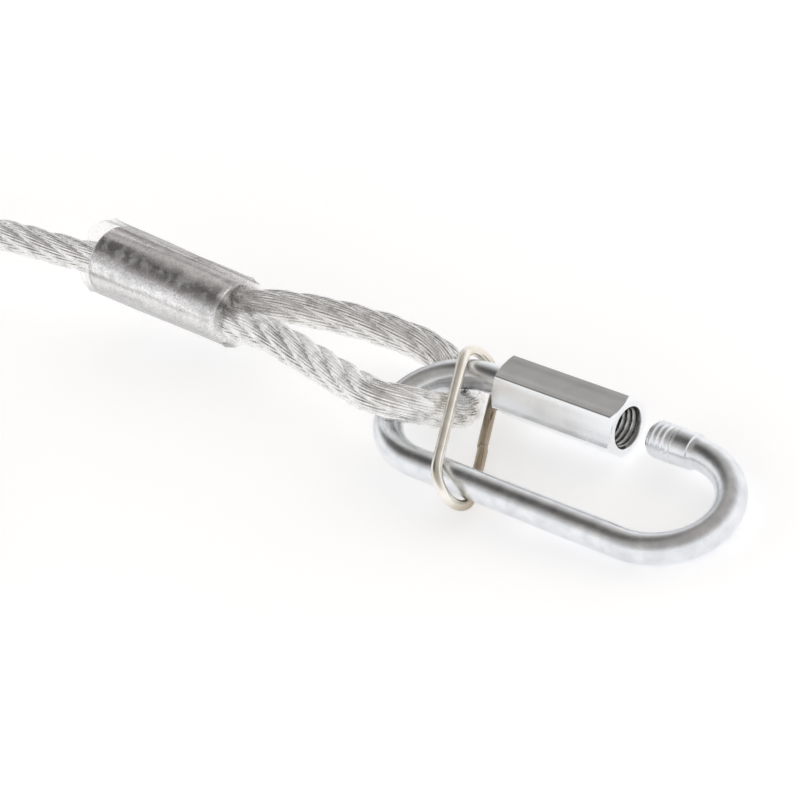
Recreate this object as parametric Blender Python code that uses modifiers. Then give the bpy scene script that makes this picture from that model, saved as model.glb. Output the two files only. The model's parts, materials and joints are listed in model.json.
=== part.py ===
"""Wire rope safety tether with an open screw quick link in its eye.

Metres, +Z up, standing on the plane Z = 0. The origin is under the middle of the quick link.
Run with: blender --background --python part.py
"""
import math

import bmesh
import bpy
from mathutils import Matrix, Vector

MM = 0.001

# ---- driving dimensions, in millimetres ----
GAP = 0.3                      # air left between touching pieces

ROD_D = 5.0                    # quick link rod
LINK_LENGTH = 68.5             # outside, end to end
LINK_WIDTH = 25.3              # outside, across both arms
BOW_REACH = 11.5               # length of each curved end, on the rod's centreline
THREAD_D = 5.7                 # mean diameter of the threaded ends
THREAD_RIM_X = 12.5            # free end of the short threaded end
THREAD_LENGTH = 5.0
STUB_END_X = 3.0               # free end of the long threaded end, inside the nut
STUB_THREAD_LENGTH = 18.6

NUT_FLATS = 9.2                # across flats
NUT_LENGTH = 24.0
NUT_LEFT_X = -16.6             # nut fully unscrewed
NUT_FACE_D = 8.9               # diameter of the flat end face inside the chamfer
NUT_CHAMFER = 0.55
NUT_CORNER_DEG = 60.0          # turn of a corner from the link's +Y

CLIP_WIRE_D = 1.8
CLIP_END_R = 4.25              # bend radius of the clip's ends, on the wire's centreline
CLIP_REAR = Vector((-22.6, 10.0, 0.2))     # bend centres, in the link's frame
CLIP_FRONT = Vector((-11.7, -10.8, 0.2))
CLIP_LEAN = Vector((-3.3, -1.9, 8.0))      # from the clip's lower bar to its upper bar

LINK_HINGE_X = -29.5           # the link turns in the rope eye about this line across its left bow
LINK_PITCH_DEG = 5.5           # left end lifted by the rope under it
LINK_ROLL_DEG = 5.5            # rear arm lifted by the rope under it

ROPE_D = 6.0
ROPE_TUBE_D = 5.9              # the rope's plain tube
LEG_D = 4.5                    # each leg as squeezed inside a ferrule
LEG_OFFSET = 2.42
EYE_LEG_OFFSET = 3.05          # each leg where it leaves a ferrule
EYE_LEG_STRAIGHT = 2.0

FERRULE_ENDS_D = (13.0, 11.4)  # the pressed barrel tapers from its left end to its right end
FERRULE_BORE_D = 10.0
FERRULE_LENGTH = 30.0
SLEEVE_ENDS_D = (14.3, 13.3)
SLEEVE_BORE_ENDS_D = (13.5, 12.5)
SLEEVE_LENGTH = 33.0
LINE_EXIT_Z = -1.0             # where the line leaves the ferrule's left end, off its axis
EYE_EXIT_Z = 0.8               # where the near eye's legs leave the right end, off its axis

COIL_MEAN_R = 31.0
COIL_CENTRE = Vector((-207.0, -24.5, 0.0))
COIL_LOW_Z = 4.1               # rope centre of the lower turn
COIL_TURN_PITCH = 6.1
COIL_LEAVE_DEG = 268.0         # where the upper turn leaves the coil

TIE_WIDTH = 5.0
TIE_THICK = 0.7
TIE_ANGLE_DEG = 180.0

# Moves everything so that the origin is under the middle of the link, nut and clip together.
ORIGIN_SHIFT = Vector((0.0, 0.1, 0.0))

# The rope's own route, in millimetres from the ground point under the link's middle.
NEAR_FERRULE = (Vector((-108.6, 8.0, 15.0)), Vector((-78.7, 8.5, 9.4)))
NEAR_EYE = [
    (-72.0, 5.0, 10.4), (-65.7, 3.9, 11.5), (-52.3, 0.9, 11.5), (-39.0, -3.2, 13.0),
    (-29.6, -5.8, 14.3), (-25.4, -4.0, 12.7), (-22.6, -0.2, 9.2), (-22.9, 4.2, 5.8),
    (-25.8, 8.6, 3.3), (-31.0, 13.0, 3.5), (-38.0, 16.0, 5.0), (-47.0, 16.3, 6.8),
    (-58.0, 15.6, 8.0), (-69.0, 13.6, 9.2),
]
LINE = [
    (-117.0, 7.5, 14.5), (-126.0, 7.0, 15.0), (-138.0, 6.5, 15.4), (-150.0, 6.5, 13.4),
    (-162.0, 6.5, 9.2), (-174.0, 6.5, 6.0),
]
LINE_STOP = (-186.0, 6.5, 3.8)
FAR_EYE = [                    # in the far ferrule's own frame: X along it, Z up
    (7.0, -3.3, -0.4), (16.0, -6.2, -2.1), (28.0, -9.2, -3.9), (39.0, -10.3, -4.05),
    (48.5, -7.8, -4.05), (52.8, 0.0, -4.05), (48.5, 7.8, -4.05), (39.0, 10.3, -4.05),
    (28.0, 9.2, -3.9), (16.0, 6.2, -2.1), (7.0, 3.3, -0.4),
]
FAR_LEAD_LENGTH = 30.0
FAR_AXIS_Z = 7.2
FAR_LEAD_CLEAR = 21.5          # the far lead starts clear of the coil's plain ring
ROUTE_STEP = 4.5

MATERIALS = {
    "zinc": ((0.74, 0.76, 0.79, 1.0), 0.28, 1.0, 1.0),
    "clip_wire": ((0.72, 0.66, 0.55, 1.0), 0.22, 1.0, 1.0),
    "wire_rope": ((0.66, 0.66, 0.64, 1.0), 0.38, 1.0, 1.0),
    "aluminium": ((0.68, 0.67, 0.67, 1.0), 0.30, 1.0, 1.0),
    "clear_sleeve": ((0.92, 0.92, 0.91, 0.35), 0.12, 0.0, 0.35),
    "tie_plastic": ((0.12, 0.12, 0.13, 1.0), 0.5, 0.0, 1.0),
}


# ---- scene and materials ----
def clear_scene():
    for obj in list(bpy.data.objects):
        bpy.data.objects.remove(obj, do_unlink=True)


def make_material(name):
    color, roughness, metallic, alpha = MATERIALS[name]
    material = bpy.data.materials.new(name)
    material.use_nodes = True
    shader = material.node_tree.nodes["Principled BSDF"]
    shader.inputs["Base Color"].default_value = color
    shader.inputs["Roughness"].default_value = roughness
    shader.inputs["Metallic"].default_value = metallic
    shader.inputs["Alpha"].default_value = alpha
    return material


clear_scene()
PARTS = bpy.data.collections.new("rope_tether")
CUTTERS = bpy.data.collections.new("cutters")
bpy.context.scene.collection.children.link(PARTS)
bpy.context.scene.collection.children.link(CUTTERS)
MATERIAL = {name: make_material(name) for name in MATERIALS}


# ---- frames ----
def metres(point):
    return Vector(point) * MM


def placed(point):
    """A point of the rope's route, in the row's frame, in metres."""
    return (Vector(point) + ORIGIN_SHIFT) * MM


def axis_frame(origin, direction, up=Vector((0.0, 0.0, 1.0))):
    """A frame at origin with X along direction and Z close to up."""
    x_axis = direction.normalized()
    y_axis = up.cross(x_axis).normalized()
    z_axis = x_axis.cross(y_axis)
    rotation = Matrix((x_axis, y_axis, z_axis)).transposed().to_4x4()
    return Matrix.Translation(origin) @ rotation


def bow_point(side, angle):
    """A point on a curved end of the link: side is -1 left or 1 right."""
    straight_x = LINK_LENGTH / 2 - ROD_D / 2 - BOW_REACH
    arm_y = (LINK_WIDTH - ROD_D) / 2
    return Vector((side * (straight_x + BOW_REACH * math.cos(angle)), arm_y * math.sin(angle), 0.0))


def link_frame():
    """The link's own frame, tilted until its lowest point stands on the ground."""
    pitch = math.radians(LINK_PITCH_DEG)
    roll = math.radians(LINK_ROLL_DEG)
    x_axis = Vector((math.cos(pitch), 0.0, -math.sin(pitch)))
    y_axis = Vector((0.0, math.cos(roll), math.sin(roll)))
    y_axis = (y_axis - x_axis * y_axis.dot(x_axis)).normalized()
    z_axis = x_axis.cross(y_axis)
    rotation = Matrix((x_axis, y_axis, z_axis)).transposed().to_4x4()
    lowest = min((rotation @ bow_point(1, math.radians(a))).z for a in range(-90, 91))
    height = ROD_D / 2 - lowest
    centre = Vector((0.0, 0.0, height)) + ORIGIN_SHIFT
    return Matrix.Translation(centre * MM) @ rotation


LINK = link_frame()
ARM_Y = (LINK_WIDTH - ROD_D) / 2


# ---- building blocks ----
def add_object(name, data, material, matrix, parent=None, collection=PARTS):
    obj = bpy.data.objects.new(name, data)
    collection.objects.link(obj)
    if parent is not None:
        obj.parent = parent
        obj.matrix_parent_inverse = parent.matrix_world.inverted()
    obj.matrix_world = matrix
    if material:
        data.materials.append(MATERIAL[material])
    return obj


def add_empty(name, matrix, parent=None):
    empty = bpy.data.objects.new(name, None)
    PARTS.objects.link(empty)
    empty.empty_display_size = 0.01
    if parent is not None:
        empty.parent = parent
        empty.matrix_parent_inverse = parent.matrix_world.inverted()
    empty.matrix_world = matrix
    bpy.context.view_layer.update()
    return empty


def tube_curve(name, points, diameter, resolution=3, cyclic=False):
    """A POLY curve through points in metres, with a round bevel and closed ends."""
    curve = bpy.data.curves.new(name, "CURVE")
    curve.dimensions = "3D"
    curve.bevel_depth = diameter / 2 * MM
    curve.bevel_resolution = resolution
    curve.use_fill_caps = not cyclic
    spline = curve.splines.new("POLY")
    spline.points.add(len(points) - 1)
    for spline_point, point in zip(spline.points, points):
        spline_point.co = (*point, 1.0)
    spline.use_cyclic_u = cyclic
    return curve


def tube(name, points, diameter, material, matrix=None, parent=None, resolution=3, cyclic=False):
    """A tube whose points are in the row's frame; matrix only sets where its origin is."""
    matrix = matrix or Matrix.Identity(4)
    inverse = matrix.inverted()
    curve = tube_curve(name, [inverse @ point for point in points], diameter, resolution, cyclic)
    return add_object(name, curve, material, matrix, parent)


def smooth_route(knots, step):
    """Points on a smooth curve through the knots, about step millimetres apart."""
    knots = [Vector(knot) for knot in knots]
    padded = [2 * knots[0] - knots[1]] + knots + [2 * knots[-1] - knots[-2]]
    route = []
    for p0, p1, p2, p3 in zip(padded, padded[1:], padded[2:], padded[3:]):
        pieces = max(1, round((p2 - p1).length / step))
        start_slope = (p2 - p0) * (p2 - p1).length / ((p2 - p1).length + (p1 - p0).length)
        end_slope = (p3 - p1) * (p2 - p1).length / ((p3 - p2).length + (p2 - p1).length)
        for piece in range(pieces):
            t = piece / pieces
            route.append(
                p1 * (2 * t**3 - 3 * t**2 + 1) + start_slope * (t**3 - 2 * t**2 + t)
                + p2 * (3 * t**2 - 2 * t**3) + end_slope * (t**3 - t**2)
            )
    route.append(knots[-1])
    return route


def turned(name, profile, material, matrix, parent=None, steps=32, collection=PARTS):
    """A closed profile of (radius, height) points in millimetres, turned about local Z."""
    mesh = bpy.data.meshes.new(name)
    shape = bmesh.new()
    verts = [shape.verts.new((radius * MM, 0.0, height * MM)) for radius, height in profile]
    for first, second in zip(verts, verts[1:] + verts[:1]):
        shape.edges.new((first, second))
    shape.to_mesh(mesh)
    shape.free()
    obj = add_object(name, mesh, material, matrix, parent, collection)
    screw = obj.modifiers.new("turn", "SCREW")
    screw.axis = "Z"
    screw.angle = math.tau
    screw.steps = steps
    screw.render_steps = steps
    screw.use_merge_vertices = True
    screw.merge_threshold = 0.00001
    screw.use_smooth_shade = True
    return obj


def tapered_profile(inner_ends_d, outer_ends_d, length, edge):
    """A tube wall's section with bevelled outer edges; the diameters are (bottom, top) pairs."""
    (low_in, top_in), (low_out, top_out), half = inner_ends_d, outer_ends_d, length / 2
    return [
        (top_in / 2, half), (top_out / 2 - edge, half), (top_out / 2, half - edge),
        (low_out / 2, edge - half), (low_out / 2 - edge, -half), (low_in / 2, -half),
    ]


def ring_profile(inner_d, outer_d, length, edge):
    """The section of a tube wall that does not taper."""
    return tapered_profile((inner_d, inner_d), (outer_d, outer_d), length, edge)


def cylinder(name, diameter, length, material, matrix, sides=24, parent=None, collection=PARTS):
    """A cylinder along local X, centred on its origin."""
    mesh = bpy.data.meshes.new(name)
    shape = bmesh.new()
    bmesh.ops.create_cone(
        shape, cap_ends=True, segments=sides, radius1=diameter / 2 * MM,
        radius2=diameter / 2 * MM, depth=length * MM,
        matrix=Matrix.Rotation(math.radians(90.0), 4, "Y"),
    )
    shape.to_mesh(mesh)
    shape.free()
    return add_object(name, mesh, material, matrix, parent, collection)


def as_mesh(obj):
    """The curve object's shape as a welded mesh object of the same name."""
    bpy.context.view_layer.update()
    evaluated = obj.evaluated_get(bpy.context.evaluated_depsgraph_get())
    mesh = bpy.data.meshes.new_from_object(evaluated)
    shape = bmesh.new()
    shape.from_mesh(mesh)
    bmesh.ops.remove_doubles(shape, verts=shape.verts, dist=0.000002)
    bmesh.ops.recalc_face_normals(shape, faces=shape.faces)
    shape.to_mesh(mesh)
    shape.free()
    name, matrix, parent = obj.name, obj.matrix_world.copy(), obj.parent
    bpy.data.objects.remove(obj, do_unlink=True)
    return add_object(name, mesh, None, matrix, parent)


def boolean(obj, cutter, operation):
    modifier = obj.modifiers.new(operation.lower() + "_" + cutter.name, "BOOLEAN")
    modifier.object = cutter
    modifier.operation = operation
    modifier.solver = "EXACT"
    cutter.hide_render = True
    cutter.display_type = "WIRE"


# ---- the quick link ----
def rod_centreline():
    """From inside the long threaded end, round the left bow and the front arm, to the short end."""
    bow_steps = 14
    quarter = math.pi / 2
    left = [bow_point(-1, quarter - math.pi * i / bow_steps) for i in range(bow_steps + 1)]
    right = [bow_point(1, -quarter + math.pi * i / bow_steps) for i in range(bow_steps + 1)]
    start = Vector((STUB_END_X - 1.0, ARM_Y, 0.0))
    end = Vector((THREAD_RIM_X + 1.0, ARM_Y, 0.0))
    return [LINK @ metres(point) for point in [start] + left + right + [end]]


def thread_cylinder(name, free_x, length, direction):
    centre = Vector((free_x + direction * length / 2, ARM_Y, 0.0))
    matrix = LINK @ Matrix.Translation(centre * MM)
    return cylinder(name, THREAD_D, length, None, matrix, sides=20, collection=CUTTERS)


def build_link_body(pivot):
    obj = tube("quick_link_body", rod_centreline(), ROD_D, "zinc", pivot.matrix_world, pivot, resolution=4)
    obj = as_mesh(obj)
    boolean(obj, thread_cylinder("short_thread", THREAD_RIM_X, THREAD_LENGTH, 1), "UNION")
    boolean(obj, thread_cylinder("long_thread", STUB_END_X, STUB_THREAD_LENGTH, -1), "UNION")


def build_nut(pivot):
    centre = Vector((NUT_LEFT_X + NUT_LENGTH / 2, ARM_Y, 0.0))
    turn = Matrix.Rotation(math.radians(NUT_CORNER_DEG), 4, "X")
    matrix = LINK @ Matrix.Translation(centre * MM) @ turn
    corner_d = NUT_FLATS / math.cos(math.radians(30.0))
    nut = cylinder("quick_link_nut", corner_d, NUT_LENGTH, "zinc", matrix, sides=6, parent=pivot)
    upright = matrix @ Matrix.Rotation(math.radians(90.0), 4, "Y")
    half, face_r = NUT_LENGTH / 2, NUT_FACE_D / 2
    wide_r = face_r + 1.7
    profile = [
        (0.0, half), (face_r, half), (wide_r, half - NUT_CHAMFER * 1.9),
        (wide_r, NUT_CHAMFER * 1.9 - half), (face_r, -half), (0.0, -half),
    ]
    chamfer = turned("nut_chamfer", profile, None, upright, collection=CUTTERS)
    bore_d = THREAD_D + 2 * GAP
    bore = cylinder("nut_bore", bore_d, NUT_LENGTH + 4.0, None, matrix, sides=20, collection=CUTTERS)
    boolean(nut, chamfer, "INTERSECT")
    boolean(nut, bore, "DIFFERENCE")


def clip_ring():
    """Centre points of the clip's wire and its two directions, in the link's frame."""
    along = (CLIP_FRONT - CLIP_REAR).normalized()
    across = (CLIP_LEAN - along * CLIP_LEAN.dot(along)).normalized()
    bend_steps = 12
    ring = []
    for centre, start in ((CLIP_REAR, math.pi / 2), (CLIP_FRONT, -math.pi / 2)):
        for i in range(bend_steps + 1):
            angle = start + math.pi * i / bend_steps
            ring.append(centre + (along * math.cos(angle) + across * math.sin(angle)) * CLIP_END_R)
    return ring, along, across


def build_clip(pivot):
    ring, along, across = clip_ring()
    matrix = LINK @ axis_frame((CLIP_REAR + CLIP_FRONT) / 2 * MM, along, across)
    points = [LINK @ metres(point) for point in ring]
    tube("retaining_clip", points, CLIP_WIRE_D, "clip_wire", matrix, pivot, resolution=2, cyclic=True)


# ---- ferrules and their clear sleeves ----
def build_ferrule(side, frame, parent):
    """A pressed ferrule, its sleeve and the two squeezed rope legs inside, along frame's X."""
    upright = frame @ Matrix.Rotation(math.radians(90.0), 4, "Y")
    bore = (FERRULE_BORE_D, FERRULE_BORE_D)
    turned("ferrule_" + side, tapered_profile(bore, FERRULE_ENDS_D, FERRULE_LENGTH, 0.4),
           "aluminium", upright, parent)
    turned("ferrule_sleeve_" + side,
           tapered_profile(SLEEVE_BORE_ENDS_D, SLEEVE_ENDS_D, SLEEVE_LENGTH, 0.2),
           "clear_sleeve", upright, parent)
    for name, offset in (("rope_live_leg_", LEG_OFFSET), ("rope_dead_end_", -LEG_OFFSET)):
        matrix = frame @ Matrix.Translation(Vector((0.0, offset, 0.0)) * MM)
        cylinder(name + side, LEG_D, FERRULE_LENGTH, "wire_rope", matrix, sides=16, parent=parent)


def near_ferrule_frame():
    left, right = (placed(point) for point in NEAR_FERRULE)
    return axis_frame((left + right) / 2, right - left)


def leave_point(angle_deg):
    """Where the upper turn leaves the coil, and the way it goes there."""
    angle = math.radians(angle_deg)
    outward = Vector((math.cos(angle), math.sin(angle), 0.0))
    forward = Vector((-math.sin(angle), math.cos(angle), 0.0))
    height = COIL_LOW_Z + COIL_TURN_PITCH
    return COIL_CENTRE + outward * COIL_MEAN_R + Vector((0.0, 0.0, height)), forward


def far_ferrule_frame():
    start, forward = leave_point(COIL_LEAVE_DEG)
    centre = start + forward * (FAR_LEAD_LENGTH + FERRULE_LENGTH / 2)
    centre.z = FAR_AXIS_Z
    return axis_frame(placed(centre), forward)


# ---- the rope ----
def eye_route(frame, knots_are_local, knots):
    """A rope eye from one leg at a ferrule's right end round to the other leg."""
    face_x = FERRULE_LENGTH / 2 + GAP
    straight_x = face_x + EYE_LEG_STRAIGHT
    exit_z = 0.0 if knots_are_local else EYE_EXIT_Z
    first = [frame @ metres((x, -EYE_LEG_OFFSET, exit_z)) for x in (face_x, straight_x)]
    last = [frame @ metres((x, EYE_LEG_OFFSET, exit_z)) for x in (straight_x, face_x)]
    if knots_are_local:
        base = Vector((FERRULE_LENGTH / 2, 0.0, 0.0))
        middle = [frame @ metres(base + Vector(knot)) for knot in knots]
    else:
        middle = [placed(knot) for knot in knots]
    route = smooth_route([point / MM for point in first + middle + last], ROUTE_STEP)
    return [metres(point) for point in route]


def build_rope(parent):
    near = near_ferrule_frame()
    far = far_ferrule_frame()
    build_ferrule("near", near, parent)
    build_ferrule("far", far, parent)
    tube("rope_eye_near", eye_route(near, False, NEAR_EYE), ROPE_TUBE_D, "wire_rope", near, parent)
    tube("rope_eye_far", eye_route(far, True, FAR_EYE), ROPE_TUBE_D, "wire_rope", far, parent)

    line_start = near @ metres((-FERRULE_LENGTH / 2 - GAP, 0.0, LINE_EXIT_Z))
    line_straight = near @ metres((-FERRULE_LENGTH / 2 - GAP - EYE_LEG_STRAIGHT, 0.0, LINE_EXIT_Z))
    knots = [line_start / MM, line_straight / MM]
    knots += [placed(point) / MM for point in LINE + [LINE_STOP]]
    route = [metres(point) for point in smooth_route(knots, 2 * ROPE_D)]
    tube("rope_line", route, ROPE_TUBE_D, "wire_rope", near, parent)

    low = COIL_LOW_Z - ROPE_D / 2 - 0.05
    high = low + ROPE_D + COIL_TURN_PITCH + 0.1
    centre = placed(COIL_CENTRE + Vector((0.0, 0.0, (low + high) / 2)))
    ring = ring_profile(2 * COIL_MEAN_R - ROPE_D - 0.2, 2 * COIL_MEAN_R + ROPE_D + 0.2, high - low, 1.0)
    turned("rope_coil", ring, "wire_rope", Matrix.Translation(centre), parent, steps=48)

    start, forward = leave_point(COIL_LEAVE_DEG)
    lead_from = placed(start + forward * FAR_LEAD_CLEAR)
    face_x = -FERRULE_LENGTH / 2 - GAP
    ends = [far @ metres((x, 0.0, 0.0)) for x in (face_x - EYE_LEG_STRAIGHT, face_x)]
    tube("rope_far_lead", [lead_from] + ends, ROPE_TUBE_D, "wire_rope", far, parent)


def build_tie(parent):
    """A flat strap round both turns of the coil."""
    angle = math.radians(TIE_ANGLE_DEG)
    outward = Vector((math.cos(angle), math.sin(angle), 0.0))
    low = COIL_LOW_Z - ROPE_D / 2
    mid_z = low + (ROPE_D + COIL_TURN_PITCH) / 2
    centre = placed(COIL_CENTRE + outward * COIL_MEAN_R + Vector((0.0, 0.0, mid_z)))
    frame = axis_frame(centre, outward)
    width = ROPE_D + 0.4 + 2 * GAP
    height = ROPE_D + COIL_TURN_PITCH + 0.2 + 2 * GAP
    mesh = bpy.data.meshes.new("coil_tie")
    shape = bmesh.new()
    bmesh.ops.create_cube(shape, size=1.0)
    ends = [face for face in shape.faces if abs(face.normal.y) > 0.9]
    bmesh.ops.delete(shape, geom=ends, context="FACES_ONLY")
    bmesh.ops.scale(shape, vec=Vector((width, TIE_WIDTH, height)) * MM, verts=shape.verts)
    shape.to_mesh(mesh)
    shape.free()
    obj = add_object("coil_tie", mesh, "tie_plastic", frame, parent)
    wall = obj.modifiers.new("wall", "SOLIDIFY")
    wall.thickness = TIE_THICK * MM
    wall.offset = 1.0
    wall.use_even_offset = True


def main():
    rope = add_empty("rope_frame", near_ferrule_frame())
    link_pivot = add_empty("link_pivot", LINK @ Matrix.Translation(metres((LINK_HINGE_X, 0.0, 0.0))), rope)
    build_link_body(link_pivot)
    build_nut(link_pivot)
    build_clip(link_pivot)
    build_rope(rope)
    build_tie(rope)
    bpy.context.view_layer.update()


main()
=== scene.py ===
"""Visual model of a wire rope safety tether with an open screw quick link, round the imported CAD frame.

Lengths are in millimetres unless a comment says metres.
"""
import json
import math
import random

import bmesh
import bpy
import numpy as np
from mathutils import Matrix, Vector


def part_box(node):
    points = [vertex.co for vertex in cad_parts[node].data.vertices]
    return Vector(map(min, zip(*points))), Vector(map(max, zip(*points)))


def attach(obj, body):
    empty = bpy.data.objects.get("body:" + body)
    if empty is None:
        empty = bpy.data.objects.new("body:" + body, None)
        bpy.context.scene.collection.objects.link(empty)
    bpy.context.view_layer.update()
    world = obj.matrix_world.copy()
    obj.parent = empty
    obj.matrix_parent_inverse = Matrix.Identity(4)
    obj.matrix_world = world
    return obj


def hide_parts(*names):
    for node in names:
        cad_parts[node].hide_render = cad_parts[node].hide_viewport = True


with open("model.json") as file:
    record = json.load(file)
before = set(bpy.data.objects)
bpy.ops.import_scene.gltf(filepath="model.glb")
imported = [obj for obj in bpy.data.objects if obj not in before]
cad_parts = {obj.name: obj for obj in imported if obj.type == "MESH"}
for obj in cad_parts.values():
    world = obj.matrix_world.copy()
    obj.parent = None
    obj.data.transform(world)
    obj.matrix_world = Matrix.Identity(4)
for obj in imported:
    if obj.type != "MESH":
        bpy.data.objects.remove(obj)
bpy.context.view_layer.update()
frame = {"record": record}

MM = 0.001
TAU = math.tau
SEED = 11                      # for the wrinkles in the sleeves
SHARP_DEG = 40.0               # edges with more of a turn than this stay sharp
NUT_SHARP_DEG = 28.0

# ---- camera ----
CAMERA_AT = Vector((248.35, -218.52, 247.90)) * MM
CAMERA_LOOKS_AT = Vector((-35.02, 2.69, 6.0)) * MM
CAMERA_ROLL_DEG = -19.5
CAMERA_LENS = 118.3
CAMERA_SENSOR = 36.0

# ---- floor, sky and lamps, in metres ----
FLOOR_RADIUS = 3.0
FLOOR_TONE = (0.90, 0.90, 0.905)
FLOOR_GLOW = 0.33
SKY_STRENGTH = 1.05
SKY = [                        # tones by the height that a direction has, from level to straight up
    (0.0, (1.0, 1.0, 1.0)), (0.36, (0.96, 0.96, 0.97)), (0.55, (0.66, 0.65, 0.64)),
    (0.75, (0.44, 0.42, 0.40)), (1.0, (0.38, 0.36, 0.34)),
]
DARK_PATCHES = [               # directions, their cosine limits and their depth
    ((-0.57, 0.0, 0.82), (0.86, 0.985), 0.22),
    ((-0.87, 0.47, 0.12), (0.93, 0.99), 0.35),
]
LAMP_AIM = Vector((-0.03, 0.0, 0.0))
LAMPS = [                      # name, place, size and watts
    ("key", (0.55, 0.70, 1.05), (2.0, 2.0), 4.6),
    ("overhead", (-0.1, 0.0, 1.4), (3.0, 3.0), 2.8),
    ("fill_left", (-1.2, -0.3, 0.6), (1.4, 0.8), 1.4),
    ("fill_front", (0.5, -1.2, 0.45), (1.4, 0.6), 1.4),
]

# ---- the rope's route, as in the CAD ----
ROUTE_SHIFT = Vector((0.0, 0.1, 0.0))
ROUTE_STEP = 1.5
NEAR_FERRULE = (Vector((-108.6, 8.0, 15.0)), Vector((-78.7, 8.5, 9.4)))
NEAR_EYE = [
    (-72.0, 5.0, 10.4), (-65.7, 3.9, 11.5), (-52.3, 0.9, 11.5), (-39.0, -3.2, 13.0),
    (-29.6, -5.8, 14.3), (-25.4, -4.0, 12.7), (-22.6, -0.2, 9.2), (-22.9, 4.2, 5.8),
    (-25.8, 8.6, 3.3), (-31.0, 13.0, 3.5), (-38.0, 16.0, 5.0), (-47.0, 16.3, 6.8),
    (-58.0, 15.6, 8.0), (-69.0, 13.6, 9.2),
]
LINE = [
    (-117.0, 7.5, 14.5), (-126.0, 7.0, 15.0), (-138.0, 6.5, 15.4), (-150.0, 6.5, 13.4),
    (-162.0, 6.5, 9.2), (-174.0, 6.5, 6.0), (-186.0, 6.5, 3.8), (-198.0, 6.5, 3.05),
]
FAR_EYE = [
    (7.0, -3.3, -0.4), (16.0, -6.2, -2.1), (28.0, -9.2, -3.9), (39.0, -10.3, -4.05),
    (48.5, -7.8, -4.05), (52.8, 0.0, -4.05), (48.5, 7.8, -4.05), (39.0, 10.3, -4.05),
    (28.0, 9.2, -3.9), (16.0, 6.2, -2.1), (7.0, 3.3, -0.4),
]
COIL_MEAN_R = 31.0
COIL_CENTRE = Vector((-207.0, -24.5, 0.0))
COIL_JOIN_DEG = 90.0
COIL_LEAVE_DEG = 268.0
COIL_GROUND_Z = 3.05
COIL_OVER_TIE_Z = 4.05
COIL_TURN_PITCH = 6.05
COIL_CLIMB_END_DEG = 350.0     # from the join, where the rope has climbed onto the first turn
COIL_POINT_DEG = 8.0
TIE_ANGLE_DEG = 180.0          # where the tie is round the coil
TIE_STEP_DEG = (6.0, 40.0)     # from the tie, where the rope comes down to the ground
TIE_WIDTH = 5.0
TIE_THICK = 0.65
TIE_BEND_R = 2.6
TIE_RIM = 0.18                 # the bevel along the strap's edges
FAR_LEAD_LENGTH = 30.0
FAR_AXIS_Z = 7.2
FERRULE_LEFT_R = 6.55          # the pressed barrel tapers
FERRULE_RIGHT_R = 5.75
FERRULE_LENGTH = 30.0
LINE_EXIT_Z = -1.0             # where the line leaves the ferrule, off its axis
EYE_EXIT_Z = 0.8
SLEEVE_LENGTH = 33.0
FILM_THICK = 0.13
FILM_RISE = 0.24               # the film's skin above the barrel
FILM_RIM_RISE = 0.12
FILM_FOLD_DRIFT = 0.50         # how far the fold turns along the sleeve, radians
FILM_CRUMPLE_REACH = 2.2       # how far the crumples go in from the left end
NEAR_FOLD_DEG = 76.0
FAR_FOLD_DEG = 60.0
LEG_OFFSET = 2.42
EYE_LEG_OFFSET = 3.05
EYE_LEG_STRAIGHT = 2.0

# Painted reflection bands and a painted highlight round a ferrule, as tones by degrees from its top towards
# the front; they drift along it.
PAINTED_REFLECTION_BANDS = [
    (-60, (0.70, 0.69, 0.68)), (-33, (0.42, 0.39, 0.38)), (-18, (0.36, 0.33, 0.32)),
    (-8, (0.78, 0.74, 0.73)), (3, (1.0, 0.97, 0.97)), (11, (0.90, 0.87, 0.86)),
    (18, (0.38, 0.37, 0.37)), (26, (0.30, 0.29, 0.29)), (33, (0.36, 0.35, 0.36)),
    (41, (0.54, 0.53, 0.54)), (48, (0.80, 0.79, 0.81)), (54, (0.72, 0.72, 0.73)),
    (62, (0.98, 0.97, 0.97)), (90, (1.0, 0.99, 0.99)), (110, (0.82, 0.81, 0.81)),
]
PAINTED_BAND_DRIFT = -6.0            # radians per metre along the ferrule

# ---- the rope's strands ----
STRANDS = 6
STRAND_RING_R = 1.91
STRAND_R = 1.10
ROPE_LAY = 47.0                # one turn of a strand round the rope
STRAND_FLAT = 1.14             # how much wider a strand is along the rope's skin than deep
WIRES = 12                     # outer wires of a strand
WIRE_DEPTH = 0.13              # the groove between two wires, of the strand's radius
WIRE_TURN = -0.30              # radians per millimetre, against the strands
WIRE_POINTS = 4                # points across each wire
CORE_R = 1.15
ROPE_STEP = 0.6                # between the rings of a strand
FAR_WIRE_POINTS = 3            # the far eye is coarser, because it's out of the camera's view
FAR_ROPE_STEP = 0.8
LINE_PHASE = 1.1               # turn of the line's strands against the near eye's, radians
SQUEEZE = 0.80                 # the rope's size inside a ferrule
SQUEEZE_EASE = 5.0             # how far the rope takes to swell outside it
LEG_SQUEEZED = 28.0            # length of each leg and of the line inside a ferrule
LINE_SQUEEZED = 3.0

# ---- the quick link, in its own frame: X along it, Z out of its plane ----
ROD_R = 2.5
LINK_LENGTH = 68.5
LINK_WIDTH = 25.3
BOW_REACH = 11.5
HINGE_X = -29.5
THREAD_PITCH = 1.0
THREAD_CREST_R = 3.04
THREAD_ROOT_R = 2.62
THREAD_FULLNESS = 0.8          # under 1 makes the ridges broad and the grooves narrow
SHANK_R = 2.98
SHORT_RIM_X = 12.5
SHORT_THREAD_END_X = 17.4
SHORT_SHOULDER_X = 20.2
LONG_RIM_X = 3.0
LONG_THREAD_END_X = -15.4
LONG_SHOULDER_X = -17.0

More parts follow.
